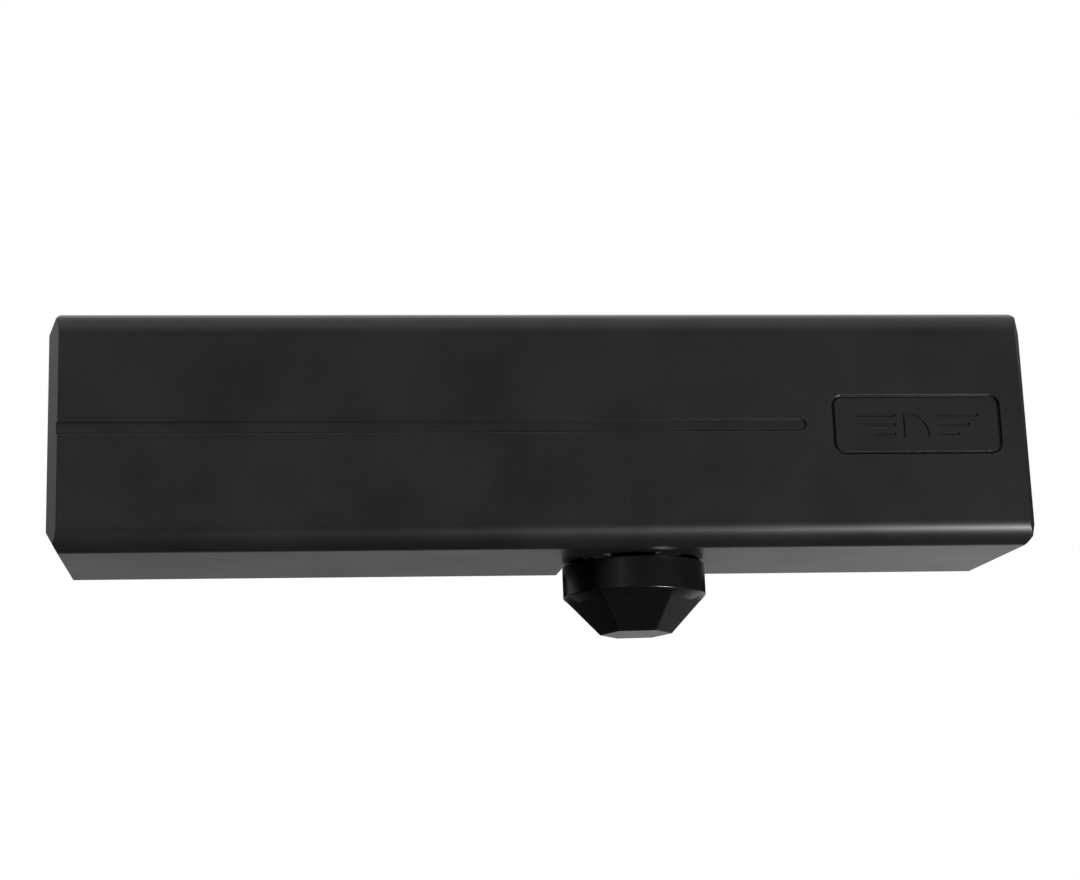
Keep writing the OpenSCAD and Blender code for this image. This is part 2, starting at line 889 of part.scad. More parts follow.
// The right-hand clip: a plate on the casting's end with a grip pad above and below
module cover_clip() {
    half_h = flange_h / 2;
    y_back = -clip_back;
    y_front = clip_front_gap - inner_d;
    difference() {
        union() {
            translate([clip_x, y_front, -half_h])
                cube([clip_t, y_back - y_front, 2 * half_h]);
            translate([clip_x, axis_y, clip_foot_cut - half_h])
                cube([clip_t, -axis_y - clip_foot_back, 2 * half_h - 2 * clip_foot_cut]);
            for (side = [0, 1])
                mirror([0, 0, side])
                    translate([clip_x - clip_pad_l, y_front, half_h - clip_pad_t])
                        cube([clip_pad_l + over, y_back - y_front, clip_pad_t]);
        }
        barrel_bar(clip_x - over, clip_x + clip_t + over, clip_window_r);
        for (c = screw_corners)
            translate([clip_x, axis_y + c[0], c[1]])
                rotate([0, 90, 0]) {
                    translate([0, 0, -over])
                        cylinder(r = screw_r + 0.15, h = clip_t + 2 * over);
                    translate([0, 0, clip_t - screw_head_h - screw_sink])
                        cylinder(r = screw_head_r + part_gap, h = screw_head_h + over);
                }
    }
}

module right_cover_clip() {
    color("#4a4d50")
        cover_clip();
}

module left_cover_clip() {
    color("#4a4d50")
        mirror([1, 0, 0])
            cover_clip();
}

module clip_screws() {
    head_x = clip_x + clip_t - screw_head_h - screw_sink;
    color("#b4b7ba")
        for (side = [0, 1], c = screw_corners)
            mirror([side, 0, 0])
                translate([head_x, axis_y + c[0], c[1]])
                    rotate([0, 90, 0])
                        difference() {
                            union() {
                                cylinder(r = screw_head_r, h = screw_head_h, $fn = 48);
                                translate([0, 0, -screw_l])
                                    cylinder(r = screw_r, h = screw_l + over / 2, $fn = 48);
                            }
                            translate([0, 0, screw_head_h - screw_socket_depth])
                                cylinder(
                                    d = screw_socket_af / cos(30), h = screw_socket_depth + over, $fn = 6
                                );
                        }
}

cover();
badge();
spindle_cap();
housing();
pinion_spindle();
rack_piston();
piston_seal();
closing_spring();
spring_seat();
left_end_plug();
right_end_plug();
left_plug_seal();
right_plug_seal();
upper_gland();
lower_gland();
upper_gland_seal();
lower_gland_seal();
upper_bearing_cup();
lower_bearing_cup();
upper_needles();
lower_needles();
upper_shaft_seal();
lower_shaft_seal();
check_ball();
check_spring();
check_retainer();
relief_ball();
relief_spring();
relief_retainer();
closing_valve();
latching_valve();
backcheck_valve();
closing_valve_seal();
latching_valve_seal();
backcheck_valve_seal();
passage_plug();
left_cover_clip();
right_cover_clip();
clip_screws();
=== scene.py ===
# %% [markdown]
# # A door closer, from its bare mechanism to its finished surfaces
# The mechanism comes from a CAD model that is loaded first and stays where it is. Every visible
# piece is then made again with rounded edges, as a moulding, a casting or a turned part has them,
# and gets a finish of its own. All sizes are metres, in the CAD model's own frame:
# X runs along the closer, Y points into the door, and Z is up.

# %% Load the mechanism
import json
import math
from contextlib import contextmanager

import bmesh
import bpy
from mathutils import Matrix, Vector

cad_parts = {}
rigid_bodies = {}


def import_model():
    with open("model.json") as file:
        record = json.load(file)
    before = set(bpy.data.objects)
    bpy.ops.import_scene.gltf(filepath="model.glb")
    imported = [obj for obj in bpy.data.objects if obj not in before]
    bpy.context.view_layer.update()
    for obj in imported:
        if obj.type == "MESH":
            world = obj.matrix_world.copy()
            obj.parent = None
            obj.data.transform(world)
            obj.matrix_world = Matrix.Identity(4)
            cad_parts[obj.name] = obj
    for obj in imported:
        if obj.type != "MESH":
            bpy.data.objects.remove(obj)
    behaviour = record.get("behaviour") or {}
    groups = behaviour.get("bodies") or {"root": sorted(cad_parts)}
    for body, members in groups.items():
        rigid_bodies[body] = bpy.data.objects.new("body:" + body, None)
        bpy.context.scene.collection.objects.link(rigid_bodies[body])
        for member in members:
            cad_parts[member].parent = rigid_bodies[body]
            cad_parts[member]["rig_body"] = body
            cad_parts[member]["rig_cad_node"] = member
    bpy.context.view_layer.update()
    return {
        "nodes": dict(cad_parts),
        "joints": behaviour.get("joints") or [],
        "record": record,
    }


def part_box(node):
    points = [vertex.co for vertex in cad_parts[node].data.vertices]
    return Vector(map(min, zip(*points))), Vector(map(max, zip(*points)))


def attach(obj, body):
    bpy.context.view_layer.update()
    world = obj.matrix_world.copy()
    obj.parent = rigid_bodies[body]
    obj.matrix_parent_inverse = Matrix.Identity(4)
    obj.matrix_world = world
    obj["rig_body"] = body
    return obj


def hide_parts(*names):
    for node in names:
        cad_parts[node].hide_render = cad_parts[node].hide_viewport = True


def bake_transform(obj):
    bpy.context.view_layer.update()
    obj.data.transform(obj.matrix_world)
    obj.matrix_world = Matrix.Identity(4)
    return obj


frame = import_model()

MM = 0.001

# %% [markdown]
# ## Places and sizes
# A new piece has to sit exactly where its CAD piece sits, so its place is read from the loaded
# model: the cover's box, the badge's box, and the spindle's axis from the record's joint.
# The few sizes that a box can't tell, such as a corner radius, are named here once.

# %% Places and sizes
cover_low, cover_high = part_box("cover")
badge_low, badge_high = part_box("badge")
cap_low, cap_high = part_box("spindle_cap")
joint = {j["name"]: j for j in frame["joints"]}
SPINDLE = Vector(joint["spindle_turn"]["pos_m"])
BARREL_Y = SPINDLE.y

WALL = 2.0 * MM              # the cover's wall
EDGE_R = 5.8 * MM            # the two long front edges
BEVEL_RUN = 2.9 * MM         # the end bevels, along the closer
BEVEL_INSET = 5.2 * MM       # the end bevels, across the closer
SLOT_R = 17.0 * MM           # the openings for the arm
GROOVE_L = 185.0 * MM
GROOVE_H = 3.0 * MM
GROOVE_D = 0.6 * MM
BADGE_GAP = 0.7 * MM
BADGE_D = 0.9 * MM
BADGE_R = 2.7 * MM
CAP_R = 18.2 * MM
CAP_FOOT_R = 9.2 * MM
CAP_SKIRT = 8.0 * MM
CAP_TURN = math.radians(-7)
CAP_FACETS = 6
CAP_BLEND = 1.6 * MM         # the height over which the facets run over into the skirt
PAST = 1.0 * MM              # how far a cutting block runs past the face that it cuts
NEARLY = 0.01 * MM           # what still counts as the same place, and what a full round leaves
print("spindle axis, mm:", [round(v / MM, 1) for v in SPINDLE])

# %% [markdown]
# ## Working in edit mode from a script
# An operator acts on whatever is selected, so nothing may be selected by accident. One helper
# selects a single object, and another opens it for editing with nothing picked and then picks the
# faces or edges that a rule names, such as "the edges along X at the front".

# %% Selecting and editing
def select_only(piece):
    bpy.ops.object.select_all(action="DESELECT")
    piece.select_set(True)
    bpy.context.view_layer.objects.active = piece


@contextmanager
def editing(piece, mode="FACE"):
    select_only(piece)
    bpy.ops.object.mode_set(mode="EDIT")
    bpy.ops.mesh.select_mode(type=mode)
    bpy.ops.mesh.select_all(action="DESELECT")
    yield
    bpy.ops.object.mode_set(mode="OBJECT")


def pick(piece, rule, kind="faces"):
    """Selects the faces, edges or vertices of the open piece that the rule accepts."""
    mesh = bmesh.from_edit_mesh(piece.data)
    bpy.ops.mesh.select_all(action="DESELECT")
    for part in [part for part in getattr(mesh, kind) if rule(part)]:
        part.select_set(True)
    mesh.select_flush_mode()
    bmesh.update_edit_mesh(piece.data)


def middle(part):
    return sum((v.co for v in part.verts), Vector()) / len(part.verts)


def runs_along(edge, axis):
    line = (edge.verts[1].co - edge.verts[0].co).normalized()
    return abs(line[axis]) > 0.999


def block(name, low, high):
    """A box between two corners."""
    centre, size = (Vector(low) + Vector(high)) / 2, Vector(high) - Vector(low)
    bpy.ops.object.select_all(action="DESELECT")
    bpy.ops.mesh.primitive_cube_add(size=1, location=centre, scale=size)
    piece = bpy.context.object
    piece.name = piece.data.name = name
    bpy.ops.object.transform_apply(location=True, rotation=True, scale=True)
    return piece


def drum(name, centre, radius, depth, sides=96):
    """An upright cylinder."""
    bpy.ops.object.select_all(action="DESELECT")
    bpy.ops.mesh.primitive_cylinder_add(vertices=sides, radius=radius, depth=depth, location=centre)
    piece = bpy.context.object
    piece.name = piece.data.name = name
    bpy.ops.object.transform_apply(location=True, rotation=True, scale=True)
    return piece


def slice_off(piece, point, normal):
    """Cuts off what lies beyond a plane and closes the cut."""
    with editing(piece):
        bpy.ops.mesh.select_all(action="SELECT")
        bpy.ops.mesh.bisect(plane_co=point, plane_no=Vector(normal).normalized(), use_fill=True,
                            clear_outer=True, threshold=1e-6)


# %% Modifiers that are applied at once
def modify(piece, kind, **settings):
    select_only(piece)
    modifier = piece.modifiers.new(kind.title(), kind)
    for key, value in settings.items():
        setattr(modifier, key, value)
    bpy.ops.object.modifier_apply(modifier=modifier.name)


def cut(piece, cutter):
    """Takes the cutter's shape out of the piece, and throws the cutter away."""
    modify(piece, "BOOLEAN", operation="DIFFERENCE", solver="EXACT", object=cutter)
    bpy.data.objects.remove(cutter)


def round_edges(piece, width, sharper_than=35, segments=3):
    """A small radius on every sharp edge, with flat faces that stay flat in the light."""
    modify(piece, "BEVEL", width=width, segments=segments, limit_method="ANGLE",
           angle_limit=math.radians(sharper_than), use_clamp_overlap=False, miter_outer="MITER_ARC")
    select_only(piece)
    bpy.ops.object.shade_smooth_by_angle(angle=math.radians(30))
    modify(piece, "WEIGHTED_NORMAL", mode="FACE_AREA", weight=50, keep_sharp=True)


# %% Measuring a finished piece
def report(piece):
    mesh = bmesh.new()
    mesh.from_mesh(piece.data)
    open_edges = sum(not edge.is_manifold for edge in mesh.edges)
    volume = mesh.calc_volume() / MM**3
    print(f"{piece.name}: {len(mesh.faces)} faces, {volume:.0f} mm3, {open_edges} open edges")
    mesh.free()


def hand_over(piece, body, slot, *nodes):
    """The piece takes the place of its CAD nodes and moves with their body."""
    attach(piece, body)
    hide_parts(*nodes)
    report(piece)


# %% [markdown]
# ## The camera
# The closer is seen from a little below and from the left of its middle, so the underside and the
# cap show. A long lens keeps the long edges nearly parallel. The camera stands off to one side of
# the picture's centre, and a small lens shift brings the closer back to the middle.

# %% Camera
CAMERA_AT = Vector((-0.0698, -0.5393, -0.1126))
CAMERA_YAW = math.radians(4.298)
CAMERA_PITCH = math.radians(12.501)
CAMERA_ROLL = math.radians(-1.228)
CAMERA_LENS = 68.5
CAMERA_SHIFT = 0.115


def add_camera():
    data = bpy.data.cameras.new("camera")
    camera = bpy.data.objects.new("camera", data)
    bpy.context.scene.collection.objects.link(camera)
    data.sensor_width = 36
    data.lens = CAMERA_LENS
    data.shift_x = CAMERA_SHIFT
    level = Vector((math.sin(CAMERA_YAW), math.cos(CAMERA_YAW), 0))
    right = Vector((math.cos(CAMERA_YAW), -math.sin(CAMERA_YAW), 0))
    ahead = level * math.cos(CAMERA_PITCH) + Vector((0, 0, math.sin(CAMERA_PITCH)))
    up = Vector((0, 0, math.cos(CAMERA_PITCH))) - level * math.sin(CAMERA_PITCH)
    x_axis = right * math.cos(CAMERA_ROLL) + up * math.sin(CAMERA_ROLL)
    y_axis = up * math.cos(CAMERA_ROLL) - right * math.sin(CAMERA_ROLL)
    turn = Matrix((x_axis, y_axis, -ahead)).transposed()
    camera.matrix_world = Matrix.Translation(CAMERA_AT) @ turn.to_4x4()
    bpy.context.scene.camera = camera
    return camera


camera = add_camera()
print("camera looks along", [round(v, 3) for v in camera.matrix_world.to_3x3() @ Vector((0, 0, -1))])

# %% [markdown]
# ## Writing finishes as sums
# A finish is a small network of nodes. Written as plain arithmetic it stays readable: a Signal is
# one output of a node, and adding or multiplying two Signals adds the Math node that does it.
# Every other kind of node comes from one method, which takes its settings and its inputs.

# %% Signals and networks
class Signal:
    def __init__(self, net, socket):
        self.net, self.socket = net, socket

    def maths(self, operation, *values):
        return self.net.node("ShaderNodeMath", {"operation": operation}, dict(enumerate(values)))

    def __add__(self, other):
        return self.maths("ADD", self, other)

    def __sub__(self, other):
        return self.maths("SUBTRACT", self, other)

    def __rsub__(self, other):
        return self.maths("SUBTRACT", other, self)

    def __mul__(self, other):
        return self.maths("MULTIPLY", self, other)

    def __pow__(self, other):
        return self.maths("POWER", self, other)

    __radd__, __rmul__ = __add__, __mul__


class Net:
    def __init__(self, tree):
        self.tree = tree
        tree.nodes.clear()

    def node(self, kind, settings=None, inputs=None, out=0):
        """Adds a node: first its settings, then the values or links of its inputs."""
        made = self.tree.nodes.new(kind)
        for key, value in (settings or {}).items():
            setattr(made, key, value)
        for key, value in (inputs or {}).items():
            if isinstance(value, Signal):
                self.tree.links.new(value.socket, made.inputs[key])
            else:
                made.inputs[key].default_value = value
        return Signal(self, made.outputs[out]) if made.outputs else made

    def step(self, value, low, high, at_low=0.0, at_high=1.0):
        """A smooth step of a value from low to high."""
        return self.node("ShaderNodeMapRange", {"interpolation_type": "SMOOTHSTEP"},
                         {"Value": value, "From Min": low, "From Max": high,
                          "To Min": at_low, "To Max": at_high})

    def mix(self, share, first, second):
        """A blend of two colours, each a Signal or three numbers."""
        full = [c if isinstance(c, Signal) else (*c, 1.0) for c in (first, second)]
        return self.node("ShaderNodeMix", {"data_type": "RGBA"}, {0: share, 6: full[0], 7: full[1]}, 2)

    def noise(self, where, scale, detail=2.0, roughness=0.5):
        return self.node("ShaderNodeTexNoise", None,
                         {"Vector": where, "Scale": scale, "Detail": detail, "Roughness": roughness})

    def cells(self, where, scale):
        """The distance to the nearest of many scattered points."""
        return self.node("ShaderNodeTexVoronoi", None, {"Vector": where, "Scale": scale})

    def stretched(self, where, scale, centre=(0, 0, 0)):
        """Coordinates about a centre, squeezed or stretched along each axis."""
        moved = [-c * s for c, s in zip(centre, scale)]
        return self.node("ShaderNodeMapping", None, {"Vector": where, "Location": moved, "Scale": scale})


# %% A material and its surface
finishes = {}


def finish(name, specular=0.5, coat_roughness=0.1):
    """A new material, its network, its object coordinates, and the settings that never vary."""
    material = bpy.data.materials.new(name)
    material.use_nodes = True
    net = Net(material.node_tree)
    where = net.node("ShaderNodeTexCoord", out="Object")
    surface = net.tree.nodes.new("ShaderNodeBsdfPrincipled")
    surface.inputs["Specular IOR Level"].default_value = specular
    surface.inputs["Coat Roughness"].default_value = coat_roughness
    output = net.tree.nodes.new("ShaderNodeOutputMaterial")
    net.tree.links.new(surface.outputs[0], output.inputs["Surface"])
    finishes[name] = material
    return net, where, surface


def paint(net, surface, colour, roughness, height, depth, metallic=0.0):
    """Links what varies over the surface: its colour, its roughness and its fine relief."""
    relief = net.node("ShaderNodeBump", None, {"Strength": 1.0, "Distance": depth, "Height": height})
    surface.inputs["Metallic"].default_value = metallic
    for key, signal in (("Base Color", colour), ("Roughness", roughness), ("Normal", relief)):
        net.tree.links.new(signal.socket, surface.inputs[key])


# %% [markdown]
# ## The black finishes
# The cover, its badge and the cap are satin black. Close up such a surface isn't even: a fine
# grain breaks up its gloss, a cloudier pattern shows where it has been handled, and a few specks
# of dust and tiny knocks catch the light. Three noises at three scales give these.

# %% Satin black
def satin_black(name, tone, gloss, grain_depth, specks=1.0, specular=0.5):
    net, where, surface = finish(name, specular)
    grain = net.noise(where, 5200, 2.0, 0.6)
    clouds = net.noise(where, 38, 4.0, 0.55)
    specked = net.step(net.cells(where, 260), 0.05, 0.02) * net.step(net.noise(where, 21), 0.60, 0.68)
    scuffs = net.noise(net.stretched(where, (9, 160, 160)), 6, 5.0, 0.65)
    scuffed = net.step(scuffs, 0.66, 0.78) * 0.5
    dark = [t * 0.86 for t in tone]
    light = [t * 1.14 for t in tone]
    colour = net.mix(net.step(clouds, 0.35, 0.65), dark, light)
    colour = net.mix(specked * specks, colour, [t * 2.4 for t in tone])
    roughness = gloss + (clouds - 0.5) * 0.10 + (grain - 0.5) * 0.08 + scuffed * 0.06
    height = grain + specked * 1.5 * specks
    paint(net, surface, colour, roughness, height, grain_depth)


satin_black("cover_satin_black", (0.0105, 0.0105, 0.0110), 0.33, 0.0000035)
satin_black("badge_satin_black", (0.0110, 0.0110, 0.0114), 0.30, 0.0000030, specks=0.5)
satin_black("cap_satin_black", (0.0045, 0.0045, 0.0046), 0.24, 0.0000020, specks=0.4, specular=0.34)
print("finishes so far:", ", ".join(finishes))

# %% [markdown]
# ## The bare metals
# The inside of a closer is mostly metal that was cast, turned or ground. Casting leaves a fine
# sandy skin. A lathe leaves rings round its axis, so the pattern is a noise that is stretched round
# that axis: it reads only the distance from the axis and the place along it.

# %% Cast and machined skins
def cast_metal(name, tone, gloss, skin_depth, metallic=1.0, specular=0.5):
    net, where, surface = finish(name, specular)
    skin = net.noise(where, 900, 5.0, 0.65)
    pits = net.step(net.cells(where, 700), 0.0, 0.35)
    clouds = net.noise(where, 45, 4.0)
    colour = net.mix(net.step(clouds, 0.3, 0.7), [t * 0.84 for t in tone], [t * 1.1 for t in tone])
    colour = net.mix(net.step(pits, 0.5, 0.0) * 0.35, colour, [t * 0.5 for t in tone])
    roughness = gloss + (skin - 0.5) * 0.16 + (clouds - 0.5) * 0.1
    paint(net, surface, colour, roughness, skin + pits * 0.5, skin_depth, metallic)


def turned_metal(name, tone, gloss, centre, axis, ring_depth, metallic=1.0, specular=0.5):
    """Lathe rings round an axis through centre: axis 0 is X, 1 is Y and 2 is Z."""
    net, where, surface = finish(name, specular)
    about = net.stretched(where, (1, 1, 1), centre)
    parts = about.net.tree.nodes.new("ShaderNodeSeparateXYZ")
    net.tree.links.new(about.socket, parts.inputs[0])
    along, first, second = (Signal(net, parts.outputs[(axis + k) % 3]) for k in range(3))
    radius = (first * first + second * second) ** 0.5
    lathe = net.node("ShaderNodeCombineXYZ", None, {0: radius, 1: along})
    rings = net.noise(net.stretched(lathe, (6500, 6500, 1)), 1.0, 3.0, 0.6)
    marks = net.noise(where, 130, 4.0)
    colour = net.mix(rings, [t * 0.86 for t in tone], [t * 1.12 for t in tone])
    colour = net.mix(net.step(marks, 0.55, 0.75) * 0.3, colour, [t * 0.7 for t in tone])
    roughness = gloss + (rings - 0.5) * 0.14 + (marks - 0.5) * 0.12
    paint(net, surface, colour, roughness, rings, ring_depth, metallic)


barrel = (0, BARREL_Y, 0)
spindle = tuple(SPINDLE)
cast_metal("housing_black_coat", (0.018, 0.018, 0.019), 0.62, 0.00004, metallic=0.0, specular=0.3)
turned_metal("spindle_black_oxide", (0.020, 0.020, 0.021), 0.38, spindle, 2, 0.000003, 0.0, 0.2)
turned_metal("piston_ground_iron", (0.40, 0.41, 0.43), 0.33, barrel, 0, 0.000004)
turned_metal("plug_turned_steel", (0.50, 0.51, 0.53), 0.30, barrel, 0, 0.000005)
turned_metal("gland_phosphated_steel", (0.012, 0.012, 0.013), 0.72, spindle, 2, 0.000005, 0.0, 0.12)
turned_metal("bearing_polished_steel", (0.62, 0.63, 0.65), 0.16, spindle, 2, 0.000001)
turned_metal("seat_pressed_steel", (0.42, 0.43, 0.45), 0.38, barrel, 0, 0.000004)
turned_metal("retainer_turned_brass", (0.66, 0.47, 0.20), 0.28, barrel, 0, 0.000004)
print("metals:", len(finishes))

# %% [markdown]
# ## Springs, screws, rubber and nylon
# Spring wire is dark and oily, with draw marks and a faint blue from its heat treatment. Zinc on
# the screws is patchy. Rubber is matt with mould bloom, and nylon has a fine spark-eroded grain.

# %% Wire, zinc and soft materials
def patchy(name, tone, other, gloss, scale, depth, metallic):
    net, where, surface = finish(name)
    patches = net.noise(where, scale, 5.0, 0.6)
    grain = net.noise(where, scale * 14, 3.0, 0.6)
    colour = net.mix(net.step(patches, 0.38, 0.66), tone, other)
    colour = net.mix(net.step(grain, 0.45, 0.8) * 0.4, colour, [t * 0.6 for t in tone])
    roughness = gloss + (patches - 0.5) * 0.14 + (grain - 0.5) * 0.12
    paint(net, surface, colour, roughness, grain, depth, metallic)


patchy("spring_oiled_steel", (0.20, 0.21, 0.23), (0.15, 0.16, 0.20), 0.30, 160, 0.000012, 1.0)
patchy("screw_zinc", (0.62, 0.63, 0.62), (0.60, 0.56, 0.44), 0.28, 420, 0.000004, 1.0)
patchy("valve_brass", (0.68, 0.49, 0.21), (0.56, 0.40, 0.17), 0.28, 300, 0.000004, 1.0)
patchy("ball_polished_steel", (0.70, 0.71, 0.73), (0.62, 0.63, 0.65), 0.12, 90, 0.0000005, 1.0)
patchy("seal_black_rubber", (0.018, 0.018, 0.018), (0.030, 0.030, 0.029), 0.62, 260, 0.00001, 0.0)
patchy("seal_filled_ptfe", (0.030, 0.029, 0.028), (0.045, 0.043, 0.040), 0.42, 300, 0.00001, 0.0)
patchy("seal_brown_rubber", (0.085, 0.050, 0.032), (0.11, 0.068, 0.045), 0.58, 260, 0.00001, 0.0)
patchy("clip_grey_nylon", (0.115, 0.12, 0.125), (0.14, 0.145, 0.15), 0.48, 120, 0.00002, 0.0)
print("all finishes:", len(finishes))


def wear(piece, name):
    piece.data.materials.clear()
    piece.data.materials.append(finishes[name])


# %% [markdown]
# ## The cover
# The cover is one thin-walled moulding, open at the back so that it can slide over the mechanism.
# It could be extruded and mitred at its ends, or moulded in one piece. It starts as a box: the two
# long front edges are rounded, three flat bevels are sliced off each end, the back is opened, and
# a wall is grown inwards from the faces that are left, so the inside follows the outside.

# %% Cover: outside and wall
def make_cover():
    piece = block("cover_shell", cover_low, cover_high)
    with editing(piece, "EDGE"):
        pick(piece, lambda e: runs_along(e, 0) and middle(e).y < cover_low.y + MM, "edges")
        bpy.ops.mesh.bevel(offset=EDGE_R, segments=14, affect="EDGES")
    for end in (-1, 1):
        tip = end * cover_high.x
        slice_off(piece, (tip, cover_low.y + BEVEL_INSET, 0), (end * BEVEL_INSET, -BEVEL_RUN, 0))
        for side in (-1, 1):
            slice_off(piece, (tip, 0, side * (cover_high.z - BEVEL_INSET)),
                      (end * BEVEL_INSET, 0, side * BEVEL_RUN))
    with editing(piece):
        pick(piece, lambda f: f.normal.y > 0.99)
        bpy.ops.mesh.delete(type="FACE")
    modify(piece, "SOLIDIFY", thickness=WALL, offset=-1, use_even_offset=True, use_quality_normals=True)
    return piece


cover = make_cover()
report(cover)

# %% [markdown]
# The arm's hub has to pass through the top or the bottom, whichever way up the closer is fitted,
# so both walls have a U-shaped opening. Its cutter is a cylinder whose back half is sliced away,
# and the flat that this leaves is pulled out past the cover's back edge.

# %% Cover: arm openings
def arm_cutter():
    height = cover_high.z - cover_low.z + 4 * PAST
    piece = drum("arm_cutter", (SPINDLE.x, BARREL_Y, 0), SLOT_R, height)
    slice_off(piece, (SPINDLE.x, BARREL_Y, 0), (0, 1, 0))
    with editing(piece):
        pick(piece, lambda f: f.normal.y > 0.99)
        bpy.ops.mesh.extrude_region_move(TRANSFORM_OT_translate={"value": (0, PAST - BARREL_Y, 0)})
    return piece


cut(cover, arm_cutter())
report(cover)

# %% [markdown]
# The front has a fine groove that runs in from the left end, and a shallow recess for the badge.
# Both cutters are blocks whose edges along Y are rounded first.

# %% Cover: groove and badge recess
def rounded_block(name, low, high, radius, rule=lambda e: True):
    piece = block(name, low, high)
    with editing(piece, "EDGE"):
        pick(piece, lambda e: runs_along(e, 1) and rule(e), "edges")
        bpy.ops.mesh.bevel(offset=radius, segments=10, affect="EDGES")
    return piece


front = cover_low.y
groove_end = cover_low.x + BEVEL_RUN + GROOVE_L
cut(cover, rounded_block("groove_cutter", (cover_low.x - PAST, front - PAST, -GROOVE_H / 2),
                         (groove_end, front + GROOVE_D, GROOVE_H / 2), GROOVE_H / 2 - NEARLY,
                         lambda e: middle(e).x > 0))
gap = Vector((BADGE_GAP, 0, BADGE_GAP))
cut(cover, rounded_block("badge_cutter", (badge_low.x - gap.x, front - PAST, badge_low.z - gap.z),
                         (badge_high.x + gap.x, front + BADGE_D, badge_high.z + gap.z), BADGE_R))
report(cover)

# %% Cover: soft edges and finish
round_edges(cover, 0.18 * MM, sharper_than=24)
wear(cover, "cover_satin_black")
hand_over(cover, "cover", "satin_black_cover", "cover")

# %% [markdown]
# ## The badge
# A separate plate lies in the recess with an even gap all round. It carries no name: a door leaf
# and the arc that it swings through are sunk into it, with three bars on each side. The symbol is
# cut, because nothing may stand out past the front of the cover.

# %% Badge
SYMBOL_D = 0.35 * MM
ARC_R = 6.2 * MM
LINE_W = 0.75 * MM
BAR_LENGTHS = (10.5 * MM, 8.0 * MM, 5.5 * MM)
BAR_PITCH = 2.4 * MM
BAR_START = 5.4 * MM         # from the middle of the badge


def lying_drum(name, centre, radius, depth):
    """A cylinder along Y."""
    piece = drum(name, centre, radius, depth)
    with editing(piece):
        bpy.ops.mesh.select_all(action="SELECT")
        bpy.ops.transform.rotate(value=math.pi / 2, orient_axis="X", center_override=centre)
    return piece


def swing_cutters():
    """A quarter ring for the door's swing, and one leaf that closes it."""
    centre_x, deep = (badge_low.x + badge_high.x) / 2, badge_low.y + SYMBOL_D
    foot = Vector((centre_x - ARC_R / 2, badge_low.y, -ARC_R / 2))
    ring = lying_drum("swing_cutter", foot, ARC_R, 2 * SYMBOL_D)
    cut(ring, lying_drum("ring_hole", foot, ARC_R - LINE_W, 4 * SYMBOL_D))
    slice_off(ring, foot, (-1, 0, 0))
    slice_off(ring, foot, (0, 0, -1))
    leaf = block("leaf_cutter", (foot.x - LINE_W, badge_low.y - PAST, foot.z - LINE_W / 2),
                 (foot.x, deep, foot.z + ARC_R))
    return ring, leaf


def make_badge():
    piece = rounded_block("badge_plate", badge_low, badge_high, BADGE_R - BADGE_GAP)
    round_edges(piece, 0.15 * MM, segments=2)
    for cutter in swing_cutters():
        cut(piece, cutter)
    deep = badge_low.y + SYMBOL_D
    centre_x = (badge_low.x + badge_high.x) / 2
    for side in (-1, 1):
        for row, length in enumerate(BAR_LENGTHS):
            z = (1 - row) * BAR_PITCH
            near = centre_x + side * BAR_START
            far = near + side * length
            cut(piece, rounded_block("bar_cutter", (min(near, far), badge_low.y - PAST, z - LINE_W / 2),
                                     (max(near, far), deep, z + LINE_W / 2), LINE_W / 2 - NEARLY))
    return piece


badge = make_badge()
modify(badge, "WEIGHTED_NORMAL", mode="FACE_AREA", weight=50, keep_sharp=True)
wear(badge, "badge_satin_black")
hand_over(badge, "cover", "satin_black_badge", "badge")

# %% [markdown]
# ## The spindle cap
# The cap hides the spare end of the spindle. It is a round skirt above a tapered hexagon with six
# flat sides, and a short run-over joins the circle to the hexagon. It could be die cast in one
# piece. Three rings with as many points each are bridged: the skirt's circle, and two hexagons.
# The top is then hollowed round the hub, and the hub gets its square socket.

# %% Spindle cap
CAP_WALL = 2.0 * MM
HUB_R = 9.9 * MM
SQUARE = 11.1 * MM
SOCKET_D = 9.0 * MM
SIDE_POINTS = 14


def ring_of_points(name, corners, cuts, radius, z):
    """A closed line of points: a polygon whose sides are cut up evenly."""
    bpy.ops.object.select_all(action="DESELECT")
    bpy.ops.mesh.primitive_circle_add(vertices=corners, radius=radius, fill_type="NOTHING",
                                      location=(SPINDLE.x, SPINDLE.y, z))
    piece = bpy.context.object
    piece.name = piece.data.name = name
    bpy.ops.object.transform_apply(location=True, rotation=True, scale=True)
    with editing(piece, "EDGE"):
        bpy.ops.mesh.select_all(action="SELECT")
        if cuts:
            bpy.ops.mesh.subdivide(number_cuts=cuts)
        bpy.ops.transform.rotate(value=-CAP_TURN - math.pi / CAP_FACETS, orient_axis="Z",
                                 center_override=SPINDLE)
    return piece


